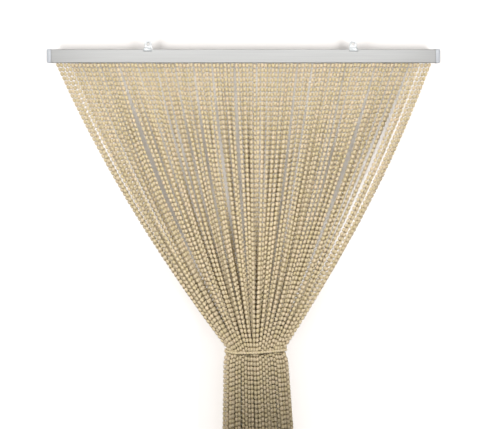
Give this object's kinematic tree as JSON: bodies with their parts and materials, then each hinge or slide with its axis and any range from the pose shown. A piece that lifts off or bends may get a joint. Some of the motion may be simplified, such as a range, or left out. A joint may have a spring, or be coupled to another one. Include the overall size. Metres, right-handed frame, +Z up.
{
  "type": "chain fly curtain with hanging rail",
  "caption": "Doorway fly curtain: a row of bead-chain strands hung from a metal rail with end caps and hanger eyes, gathered at the waist by a tied bead strand.",
  "frame": {"origin": "middle of the rail's flat back face, on the wall plane", "axes": "+X along the rail to the right as seen from the front, +Y into the wall, +Z up; the front faces -Y"},
  "size_m": [0.9, 0.0865, 2.1203],
  "materials": {
    "anodised_aluminium": "satin anodised, drawn lengthwise",
    "pale_grey_plastic": "moulded, fine grain",
    "milky_plastic": "moulded, milky, half gloss",
    "beige_bead_plastic": "moulded beads, satin"
  },
  "bodies": {
    "root": {"rail": "anodised_aluminium", "end_cap_left": "pale_grey_plastic", "end_cap_right": "pale_grey_plastic", "hanger_left": "milky_plastic", "hanger_right": "milky_plastic", "curtain": "beige_bead_plastic", "tie": "beige_bead_plastic"}
  },
  "joints": []
}
